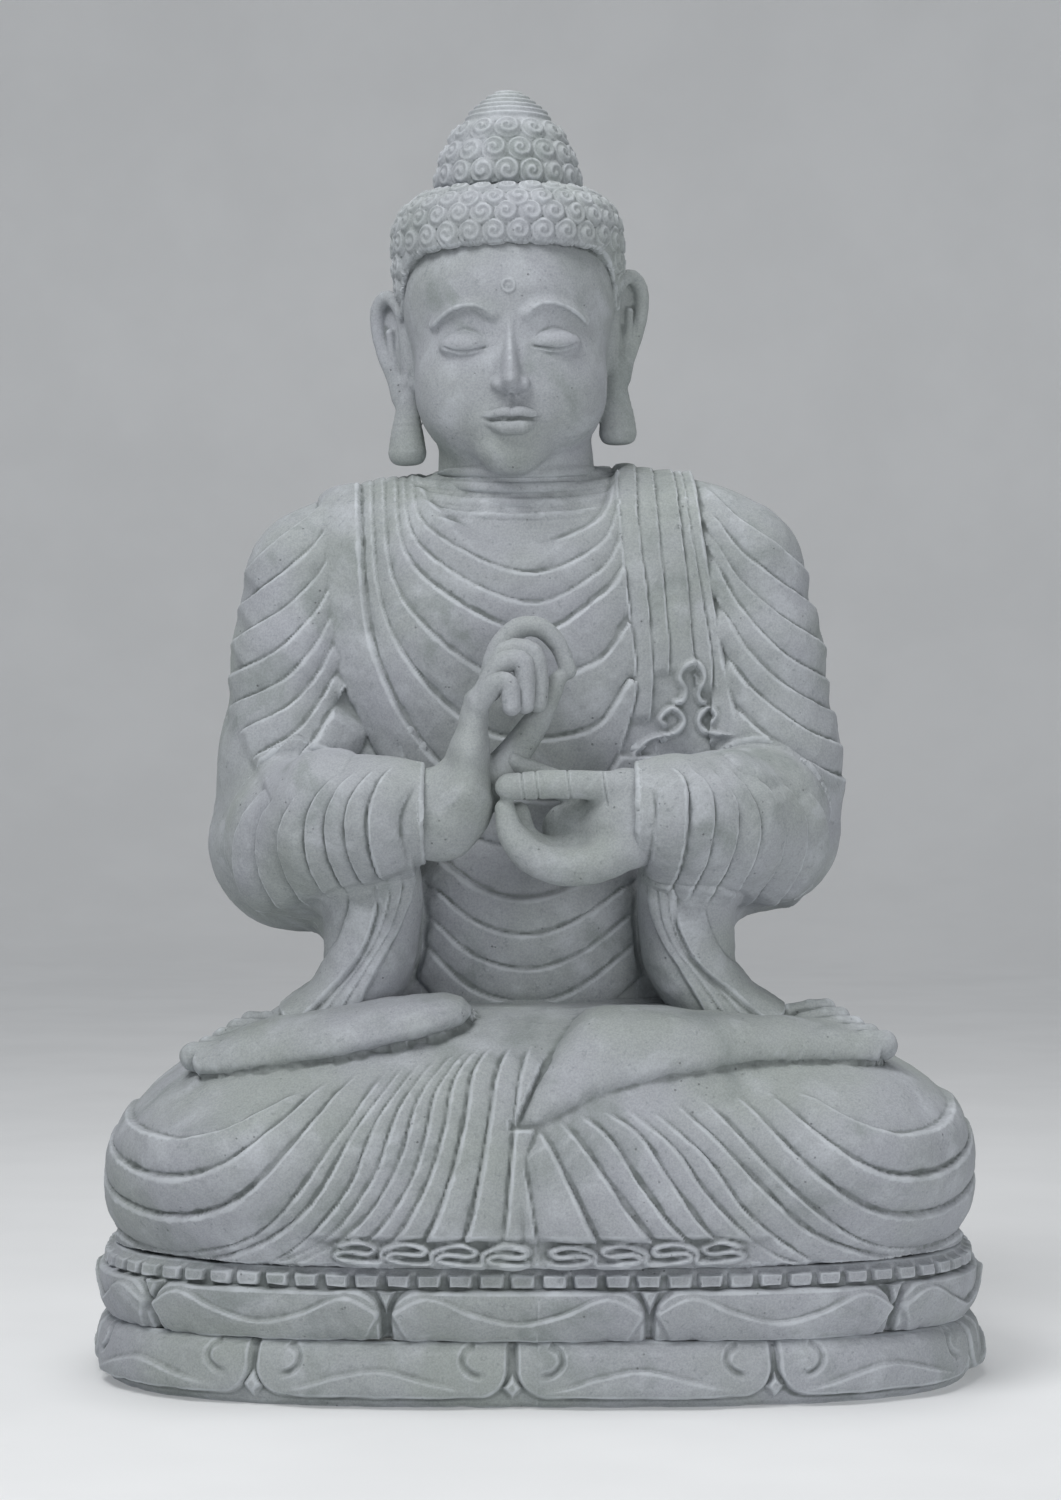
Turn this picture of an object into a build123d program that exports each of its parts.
"""Seated teaching figure in carved stone, on a two-course lotus base.

The statue is built in sections: each carved block is set on a thin bed of mortar and pinned to
the next one with stainless dowels. Millimetres, +Z up, origin at the centre of the underside.
The figure faces -Y, and its own right side is at -X.
"""

from build123d import *

import os
from math import copysign, cos, pi, radians, sin

# --- Driving dimensions -----------------------------------------------------------------------
HEIGHT = 1500.0
BASE_WIDTH = 1036.0
BASE_DEPTH = 664.0
BED = 4.0  # thickness of every mortar bed
POINTING = 8.0  # how far a bed is kept back from the face of the stone
# Superellipse powers of the outlines: 2 is an ellipse, and more is squarer
BASE_POWER, LAP_POWER, TORSO_POWER = 3.0, 2.4, 2.3

# Heights of the horizontal joints: each is the top of the lower block
PLINTH_JOINT = 70.0
SEAT_JOINT = 150.0
WAIST_JOINT = 420.0
CROWN_JOINT = 1378.0

# Lotus base
SLAB_HEIGHT = 13.0
SLAB_INSET = 24.0
PETALS = 10  # round each course
FRONT_MIDDLE = 0.75  # share of the way round the outline, from +X by +Y and -X
PETAL_GAP = 10.0
PETAL_RELIEF = 16.0
LOWER_ROUND = 26.0
UPPER_ROUND = 22.0
STAMEN_BAND = 22.0  # height of the band above the upper petals
STAMEN_INSET = 12.0
STAMENS = 84
STAMEN_SIZE = (25.0, 9.0, 15.0)

# The upper body leans a little to its right, so each block has its own centre
TORSO_X, TORSO_Y = -10.0, 80.0
NECK_X, NECK_Y = -24.0, 42.0
HEAD_X, HEAD_Y = -33.0, 22.0
CROWN_X, CROWN_Y = -36.0, 36.0

# The head block ends in a round tenon that sits in a socket in the torso
TENON_RADIUS = 84.0
TENON_BOTTOM = 944.0
NECK_TOP = 1110.0
NECK_RADIUS = 82.0
NECK_CUP = 60.0  # how deep the mortar round the tenon is

# Crown (the cranial dome on top of the head)
CROWN_RADIUS = 88.0

# Forearms: a quarter bend from the joint plane in the torso's front to the cuff
FOREARM_JOINT_Y = -44.0
FOREARM_Z = 645.0
ELBOW_X = 262.0
CUFF_X = 124.0
CUFF_BED = 3.0
WRIST_BED_HALF = (22.0, 40.0)  # across and up
BEND = ELBOW_X - CUFF_X
HAND_Y = FOREARM_JOINT_Y - BED - BEND

# Dowels: (radius, length); each sits in a hole that is a little larger, filled with resin
DOWEL_CLEARANCE = 1.0
END_GAP = 2.0
BLOCK_DOWEL = (12.0, 76.0)
WAIST_DOWEL = (12.0, 150.0)
NECK_DOWEL = (12.0, 130.0)
CROWN_DOWEL = (8.0, 90.0)
FOREARM_DOWEL = (8.0, 110.0)
WRIST_DOWEL = (6.0, 80.0)

PLINTH_DOWEL_PLACES = [(x, y) for x in (-380, 380) for y in (-110, 110)]
SEAT_DOWEL_PLACES = [(x, y) for x in (-260, 260) for y in (-160, 160)]
WAIST_DOWEL_PLACES = [(TORSO_X + x, TORSO_Y) for x in (-120, 120)]
SHIM = 40.0  # side of a square lead setting shim
SHIM_PLACES = [(x, y) for x in (-200, 200) for y in (-220, 220)]

STANDING = (Align.CENTER, Align.CENTER, Align.MIN)  # a primitive on its base


# --- Helpers ----------------------------------------------------------------------------------
def oval(half_width, half_depth, power=2.0, count=24):
    """A closed face with the outline |x/a|^n + |y/b|^n = 1, as one smooth curve."""
    ring = []
    for i in range(count):
        turn = 2 * pi * i / count
        x = copysign(abs(cos(turn)) ** (2 / power), cos(turn)) * half_width
        y = copysign(abs(sin(turn)) ** (2 / power), sin(turn)) * half_depth
        ring.append((x, y))
    with BuildSketch() as outline:
        with BuildLine():
            Spline(*ring, periodic=True)
        make_face()
    return outline.sketch


def lofted(sections, x=0.0, y=0.0, power=2.0):
    """A solid through level ovals, each (z, half_width, half_depth), centred on x, y."""
    with BuildPart() as body:
        for z, half_width, half_depth in sections:
            with BuildSketch(Plane.XY.offset(z)):
                with Locations((x, y)):
                    add(oval(half_width, half_depth, power))
        loft()
    return body.part


def block(outline, low, high):
    """A straight-sided solid of an outline between two heights."""
    with BuildPart() as body:
        with BuildSketch(Plane.XY.offset(low)):
            add(outline)
        extrude(amount=high - low)
    return body.part


def round_the_outline(outline, count, start, height):
    """Places spaced evenly along an outline, each turned to face outwards."""
    ring = outline.edges()[0]
    places = []
    for i in range(count):
        at = (start + i / count) % 1.0
        spot = ring @ at
        heading = (ring % at).get_angle(Vector(1, 0, 0)) * copysign(1, (ring % at).Y)
        places.append(Location((spot.X, spot.Y, height), (0, 0, heading)))
    return places


def dowels(size, places, plane=Plane.XY, grow=0.0):
    """Round dowels centred on places in a plane's own x, y, z. grow makes their holes."""
    radius, length = size
    hole_length = length + (2 * END_GAP if grow else 0)
    with BuildPart() as pins:
        with Locations(*(plane.location * Location(place) for place in places)):
            Cylinder(radius + grow, hole_length)
    return pins.part


def upright(places, height):
    """Adds one height to flat x, y places."""
    return [(x, y, height) for x, y in places]


def limb(points, radius):
    """A finger or toe: a round bar along a smooth path, with a ball at each end."""
    with BuildPart() as body:
        with BuildLine() as path:
            Spline(*points)
        with BuildSketch(Plane(origin=path.line @ 0, z_dir=path.line % 0)):
            Circle(radius)
        sweep(path=path.line)
        with Locations(points[0], points[-1]):
            Sphere(radius)
    return body.part


# --- Outlines shared by blocks that meet ------------------------------------------------------
half_width, half_depth = BASE_WIDTH / 2, BASE_DEPTH / 2
base_outline = oval(half_width, half_depth, BASE_POWER)
slab_outline = oval(half_width - SLAB_INSET, half_depth - SLAB_INSET, BASE_POWER)
band_outline = oval(half_width - STAMEN_INSET, half_depth - STAMEN_INSET, BASE_POWER)
base_bed_outline = oval(
    half_width - LOWER_ROUND - POINTING, half_depth - LOWER_ROUND - POINTING, BASE_POWER
)

plinth_places = upright(PLINTH_DOWEL_PLACES, PLINTH_JOINT + BED / 2)
seat_places = upright(SEAT_DOWEL_PLACES, SEAT_JOINT + BED / 2)
waist_places = upright(WAIST_DOWEL_PLACES, WAIST_JOINT + BED / 2)
neck_places = [(NECK_X, NECK_Y, TENON_BOTTOM)]
crown_places = [(CROWN_X, CROWN_Y, CROWN_JOINT + BED / 2)]
plinth_holes = dowels(BLOCK_DOWEL, plinth_places, grow=DOWEL_CLEARANCE)
seat_holes = dowels(BLOCK_DOWEL, seat_places, grow=DOWEL_CLEARANCE)
waist_holes = dowels(WAIST_DOWEL, waist_places, grow=DOWEL_CLEARANCE)
neck_holes = dowels(NECK_DOWEL, neck_places, grow=DOWEL_CLEARANCE)
crown_holes = dowels(CROWN_DOWEL, crown_places, grow=DOWEL_CLEARANCE)

# Forearm dowels run along Y and wrist dowels along X, in a plane with its z that way
along_y = Plane(origin=(0, 0, 0), x_dir=(1, 0, 0), z_dir=(0, 1, 0))
along_x = Plane(origin=(0, 0, 0), x_dir=(0, 1, 0), z_dir=(1, 0, 0))
forearm_places = [
    (side * ELBOW_X + TORSO_X, -(FOREARM_Z + lift), FOREARM_JOINT_Y - BED / 2)
    for side in (-1, 1)
    for lift in (-35, 35)
]
wrist_places = [
    (HAND_Y, FOREARM_Z, side * (CUFF_X - CUFF_BED / 2) + TORSO_X) for side in (-1, 1)
]
forearm_holes = dowels(FOREARM_DOWEL, forearm_places, along_y, DOWEL_CLEARANCE)
wrist_holes = dowels(WRIST_DOWEL, wrist_places, along_x, DOWEL_CLEARANCE)


# --- Lotus base -------------------------------------------------------------------------------
def petal_ring(low, high, rounding, start):
    """One ring of bulging petals, parted by upright grooves; the first groove is at start."""
    with BuildPart() as petals:
        add(block(base_outline, low, high))
        fillet(petals.edges().filter_by(GeomType.BSPLINE), rounding)
        with Locations(*round_the_outline(base_outline, PETALS, start, (low + high) / 2)):
            Box(PETAL_GAP, 2 * PETAL_RELIEF, 2 * (high - low), mode=Mode.SUBTRACT)
    return petals.part


with BuildPart() as lower_lotus_course:
    add(block(slab_outline, 0, PLINTH_JOINT / 2))
    add(petal_ring(SLAB_HEIGHT, PLINTH_JOINT, LOWER_ROUND, FRONT_MIDDLE))
    add(plinth_holes, mode=Mode.SUBTRACT)

with BuildPart() as upper_lotus_course:
    petal_top = SEAT_JOINT - STAMEN_BAND
    half_step = 0.5 / PETALS
    add(petal_ring(PLINTH_JOINT + BED, petal_top, UPPER_ROUND, FRONT_MIDDLE + half_step))
    add(block(band_outline, petal_top - UPPER_ROUND, SEAT_JOINT))
    band_middle = SEAT_JOINT - STAMEN_BAND / 2
    with Locations(*round_the_outline(band_outline, STAMENS, 0.0, band_middle)):
        Box(*STAMEN_SIZE)
    add(plinth_holes, mode=Mode.SUBTRACT)
    add(seat_holes, mode=Mode.SUBTRACT)


# --- Lap: crossed legs with the feet turned up on the thighs ----------------------------------
LAP_SECTIONS = [
    (SEAT_JOINT + BED, 496, 308),
    (195, 510, 326),
    (245, 506, 320),
    (290, 490, 302),
    (335, 452, 268),
    (375, 400, 226),
    (WAIST_JOINT, 318, 168),
]
LAP_Y = 4.0
FOOT_Y = -165.0
# (x, height of the middle, half across, half up) from heel to toes
SOLE_SECTIONS = [(90, 386, 26, 24), (150, 388, 46, 33), (280, 380, 54, 30), (380, 372, 44, 20)]


def foot(side):
    """One foot lying sole up across a thigh."""
    with BuildPart() as sole:
        for x, z, half_across, half_up in SOLE_SECTIONS:
            with BuildSketch(Plane.YZ.offset(side * x)):
                with Locations((FOOT_Y, z)):
                    Ellipse(half_across, half_up)
        loft()
    return sole.part


with BuildPart() as lap_block:
    add(lofted(LAP_SECTIONS, y=LAP_Y, power=LAP_POWER))
    for side in (-1, 1):
        add(foot(side))
    with Locations((0, LAP_Y, WAIST_JOINT + 50)):
        Box(BASE_WIDTH, BASE_DEPTH, 100, mode=Mode.SUBTRACT)
    add(seat_holes, mode=Mode.SUBTRACT)
    add(waist_holes, mode=Mode.SUBTRACT)


# --- Torso: the robed chest, shoulders and upper arms in one block ----------------------------
TORSO_SECTIONS = [
    (WAIST_JOINT + BED, 250, 152),
    (490, 272, 152),
    (580, 374, 160),
    (680, 380, 160),
    (860, 348, 150),
    (980, 296, 130),
    (1040, 190, 92),
]
ARM_POCKET_TOP = 742.0
ARM_POCKET_INNER = 96.0

with BuildPart() as torso_block:
    add(lofted(TORSO_SECTIONS, TORSO_X, TORSO_Y, TORSO_POWER))
    for side in (-1, 1):
        # The front is cut back to the forearm joint, from the waist up
        pocket_bottom = WAIST_JOINT + BED
        pocket_width = BASE_WIDTH / 2 - ARM_POCKET_INNER
        pocket_x = TORSO_X + side * (ARM_POCKET_INNER + pocket_width / 2)
        with Locations((pocket_x, FOREARM_JOINT_Y, pocket_bottom)):
            Box(
                pocket_width,
                BASE_DEPTH,
                ARM_POCKET_TOP - pocket_bottom,
                align=(Align.CENTER, Align.MAX, Align.MIN),
                mode=Mode.SUBTRACT,
            )
    with Locations((NECK_X, NECK_Y, TENON_BOTTOM - BED)):
        Cylinder(TENON_RADIUS + BED, HEIGHT, align=STANDING, mode=Mode.SUBTRACT)
    add(neck_holes, mode=Mode.SUBTRACT)
    add(waist_holes, mode=Mode.SUBTRACT)
    add(forearm_holes, mode=Mode.SUBTRACT)


# --- Forearms in their sleeves ----------------------------------------------------------------
SLEEVE_STEPS = 3
ELBOW_HALF = (84.0, 76.0)  # across and up, at the joint plane
CUFF_HALF = (46.0, 54.0)
# The hanging part of the sleeve, each (z, half_width, half_depth), down to just above the lap
DRAPE_SECTIONS = [(WAIST_JOINT + BED, 88, 36), (480, 66, 38), (540, 52, 38), (610, 44, 36)]
DRAPE_X, DRAPE_Y = 190.0, -112.0


def sleeve(side):
    """One forearm block: a tapering quarter bend, with the sleeve hanging to the lap."""
    with BuildPart() as body:
        for step in range(SLEEVE_STEPS + 1):
            share = step / SLEEVE_STEPS
            turn = radians(90 * share)
            place = (
                TORSO_X + side * (CUFF_X + BEND * cos(turn)),
                FOREARM_JOINT_Y - BED - BEND * sin(turn),
                FOREARM_Z,
            )
            heading = (-side * sin(turn), -cos(turn), 0)
            across, up = (
                first + (last - first) * share for first, last in zip(ELBOW_HALF, CUFF_HALF)
            )
            with BuildSketch(Plane(origin=place, x_dir=(0, 0, 1), z_dir=heading)):
                Ellipse(up, across)
        loft()
        add(lofted(DRAPE_SECTIONS, TORSO_X + side * DRAPE_X, DRAPE_Y, LAP_POWER))
        with Locations((0, FOREARM_JOINT_Y - BED, FOREARM_Z)):
            Box(
                BASE_WIDTH,
                BASE_DEPTH,
                HEIGHT,
                align=(Align.CENTER, Align.MIN, Align.CENTER),
                mode=Mode.SUBTRACT,
            )
        add(forearm_holes, mode=Mode.SUBTRACT)
        add(wrist_holes, mode=Mode.SUBTRACT)
    return body.part


right_forearm = sleeve(-1)
left_forearm = sleeve(1)


# --- Hands, in the teaching gesture -----------------------------------------------------------
HAND_FACE = CUFF_X - CUFF_BED  # where each hand starts, out from the torso's middle
# Palm sections from the wrist inwards: (distance from the wrist, z, half across, half up)
RIGHT_PALM = [(0, 646, 24, 46), (30, 655, 26, 52), (56, 676, 22, 44)]
LEFT_PALM = [(0, 646, 26, 48), (34, 644, 28, 52), (62, 640, 22, 40)]

# Fingers as (x, y from the middle of the hand, z), with the radius of each
RIGHT_RISE = [(-96, 0, 690), (-76, -2, 760), (-58, -8, 806)]
RIGHT_THUMB = [(-78, 12, 700), (-40, 20, 740), (14, 20, 800)]
RIGHT_FINGER = [(-58, 0, 800), (-34, 0, 836), (-6, 0, 826), (2, 0, 776)]
RIGHT_FINGER_PLACES = (-26, -9, 8)
LEFT_INDEX = [(64, -14, 664), (10, -22, 672), (-34, -24, 672)]
LEFT_CURL = [(66, 0, 618), (16, -4, 590), (-24, -6, 602), (-38, -6, 640)]
PALM_RISE_RADIUS, THUMB_RADIUS, FINGER_RADIUS, INDEX_RADIUS = 22.0, 12.0, 11.0, 14.0
CURLS = ((-18, 18.0), (4, 15.0))  # (y place, radius) of the two curled fingers


def palm(sections, side):
    """The wrist and palm, lofted from the cuff towards the middle."""
    start = TORSO_X + side * HAND_FACE
    with BuildPart() as body:
        for inwards, z, half_across, half_up in sections:
            with BuildSketch(Plane.YZ.offset(start - side * inwards)):
                with Locations((HAND_Y, z)):
                    Ellipse(half_across, half_up)
        loft()
    return body.part


def finger(points, radius, y=0.0):
    """A finger whose points are measured from the middle of the hand."""
    return limb([(px, HAND_Y + y + py, pz) for px, py, pz in points], radius)


with BuildPart() as right_hand:
    add(palm(RIGHT_PALM, -1))
    add(finger(RIGHT_RISE, PALM_RISE_RADIUS))
    add(finger(RIGHT_THUMB, THUMB_RADIUS))
    for y in RIGHT_FINGER_PLACES:
        add(finger(RIGHT_FINGER, FINGER_RADIUS, y))
    add(wrist_holes, mode=Mode.SUBTRACT)

with BuildPart() as left_hand:
    add(palm(LEFT_PALM, 1))
    add(finger(LEFT_INDEX, INDEX_RADIUS))
    for y, radius in CURLS:
        add(finger(LEFT_CURL, radius, y))
    add(wrist_holes, mode=Mode.SUBTRACT)


# --- Head and crown ---------------------------------------------------------------------------
HEAD_SECTIONS = [
    (1040, 58, 84),
    (1080, 92, 104),
    (1140, 116, 118),
    (1210, 128, 126),
    (1280, 136, 132),
    (1330, 130, 126),
    (1362, 108, 108),
    (CROWN_JOINT, 88, 92),
]
EAR_THICKNESS = 26.0
EAR_OUTLINE = [(-14, 1268), (20, 1252), (22, 1190), (6, 1130), (14, 1072), (-8, 1056)]
EAR_OUTLINE += [(-18, 1110), (-20, 1200)]
EAR_OUT = 142.0
EAR_ROOT = (30.0, 22.0, 60.0)  # the block that joins an ear to the temple
EAR_ROOT_INSET, EAR_ROOT_Z = 20.0, 1210.0
TENON_TOP, NECK_BOTTOM = 1020.0, 1000.0


def ear(side):
    """A long ear, standing off the side of the head and joined to it at the temple."""
    with BuildPart() as shell:
        with BuildSketch(Plane.YZ.offset(HEAD_X + side * EAR_OUT - EAR_THICKNESS / 2)):
            with BuildLine():
                Spline(*((y + HEAD_Y, z) for y, z in EAR_OUTLINE), periodic=True)
            make_face()
        extrude(amount=EAR_THICKNESS)
        with Locations((HEAD_X + side * (EAR_OUT - EAR_ROOT_INSET), HEAD_Y, EAR_ROOT_Z)):
            Box(*EAR_ROOT)
    return shell.part


with BuildPart() as head:
    for radius, low, high in (
        (TENON_RADIUS, TENON_BOTTOM, TENON_TOP),
        (NECK_RADIUS, NECK_BOTTOM, NECK_TOP),
    ):
        with Locations((NECK_X, NECK_Y, low)):
            Cylinder(radius, high - low, align=STANDING)
    add(lofted(HEAD_SECTIONS, HEAD_X, HEAD_Y))
    for side in (-1, 1):
        add(ear(side))
    add(neck_holes, mode=Mode.SUBTRACT)
    add(crown_holes, mode=Mode.SUBTRACT)

CROWN_BOTTOM = CROWN_JOINT + BED
CROWN_PROFILE = [(0.97, 0.25), (0.84, 0.47), (0.52, 0.75), (0.2, 0.94), (0.0, 1.0)]

with BuildPart() as crown:
    with BuildSketch(Plane.XZ.offset(-CROWN_Y)):
        with BuildLine():
            rise = HEIGHT - CROWN_BOTTOM
            foot = (CROWN_X + CROWN_RADIUS, CROWN_BOTTOM)
            dome = [(CROWN_X + CROWN_RADIUS * r, CROWN_BOTTOM + rise * h) for r, h in CROWN_PROFILE]
            Spline(foot, *dome)
            Polyline(dome[-1], (CROWN_X, CROWN_BOTTOM), foot)
        make_face()
    revolve(axis=Axis((CROWN_X, CROWN_Y, 0), (0, 0, 1)))
    add(crown_holes, mode=Mode.SUBTRACT)


# --- Mortar beds ------------------------------------------------------------------------------
with BuildPart() as setting_shims:
    shim_places = upright(SHIM_PLACES, PLINTH_JOINT) + upright(SHIM_PLACES, SEAT_JOINT)
    with Locations(*shim_places):
        Box(SHIM, SHIM, BED, align=STANDING)

with BuildPart() as plinth_bed:
    add(block(base_bed_outline, PLINTH_JOINT, PLINTH_JOINT + BED))
    add(plinth_holes, mode=Mode.SUBTRACT)
    add(setting_shims.part, mode=Mode.SUBTRACT)

with BuildPart() as seat_bed:
    seat_z, seat_width, seat_depth = LAP_SECTIONS[0]
    add(block(oval(seat_width - POINTING, seat_depth - POINTING, LAP_POWER), SEAT_JOINT, seat_z))
    add(seat_holes, mode=Mode.SUBTRACT)
    add(setting_shims.part, mode=Mode.SUBTRACT)

with BuildPart() as waist_bed:
    with BuildSketch(Plane.XY.offset(WAIST_JOINT)):
        with Locations((TORSO_X, TORSO_Y)):
            waist_z, waist_width, waist_depth = TORSO_SECTIONS[0]
            add(oval(waist_width - POINTING, waist_depth - POINTING, TORSO_POWER))
        with Locations((TORSO_X, FOREARM_JOINT_Y)):
            Rectangle(BASE_WIDTH, BASE_DEPTH, align=(Align.CENTER, Align.MAX), mode=Mode.SUBTRACT)
    extrude(amount=BED)
    add(waist_holes, mode=Mode.SUBTRACT)

with BuildPart() as neck_bed:
    # A cup round the tenon, filled to below the level of the shoulders
    with Locations((NECK_X, NECK_Y, TENON_BOTTOM - BED)):
        Cylinder(TENON_RADIUS + BED, NECK_CUP, align=STANDING)
    with Locations((NECK_X, NECK_Y, TENON_BOTTOM)):
        Cylinder(TENON_RADIUS, NECK_CUP, align=STANDING, mode=Mode.SUBTRACT)
    add(neck_holes, mode=Mode.SUBTRACT)

with BuildPart() as crown_bed:
    with BuildSketch(Plane.XY.offset(CROWN_JOINT)):
        with Locations((CROWN_X, CROWN_Y)):
            Circle(CROWN_RADIUS - 2 * POINTING)
    extrude(amount=BED)
    add(crown_holes, mode=Mode.SUBTRACT)

with BuildPart() as forearm_beds:
    for side in (-1, 1):
        across, up = ELBOW_HALF
        place = (TORSO_X + side * ELBOW_X, FOREARM_JOINT_Y, FOREARM_Z)
        with BuildSketch(Plane(origin=place, x_dir=(1, 0, 0), z_dir=(0, -1, 0))):
            Ellipse(across - POINTING, up - POINTING)
        extrude(amount=BED)
    add(forearm_holes, mode=Mode.SUBTRACT)

with BuildPart() as wrist_beds:
    for side in (-1, 1):
        place = (TORSO_X + side * CUFF_X, HAND_Y, FOREARM_Z)
        with BuildSketch(Plane(origin=place, x_dir=(0, 1, 0), z_dir=(-side, 0, 0))):
            Ellipse(*WRIST_BED_HALF)
        extrude(amount=CUFF_BED)
    add(wrist_holes, mode=Mode.SUBTRACT)


# --- Write every piece ------------------------------------------------------------------------
pieces = {
    "lower_lotus_course": lower_lotus_course.part,
    "upper_lotus_course": upper_lotus_course.part,
    "lap_block": lap_block.part,
    "torso_block": torso_block.part,
    "right_forearm": right_forearm,
    "left_forearm": left_forearm,
    "right_hand": right_hand.part,
    "left_hand": left_hand.part,
    "head": head.part,
    "crown": crown.part,
    "plinth_bed": plinth_bed.part,
    "seat_bed": seat_bed.part,
    "waist_bed": waist_bed.part,
    "neck_bed": neck_bed.part,
    "crown_bed": crown_bed.part,
    "forearm_beds": forearm_beds.part,
    "wrist_beds": wrist_beds.part,
    "setting_shims": setting_shims.part,
    "plinth_dowels": dowels(BLOCK_DOWEL, plinth_places),
    "seat_dowels": dowels(BLOCK_DOWEL, seat_places),
    "waist_dowels": dowels(WAIST_DOWEL, waist_places),
    "neck_dowel": dowels(NECK_DOWEL, neck_places),
    "crown_dowel": dowels(CROWN_DOWEL, crown_places),
    "forearm_dowels": dowels(FOREARM_DOWEL, forearm_places, along_y),
    "wrist_dowels": dowels(WRIST_DOWEL, wrist_places, along_x),
}

os.makedirs("parts", exist_ok=True)
for name, piece in pieces.items():
    piece.label = name
    export_step(piece, f"parts/{name}.step")
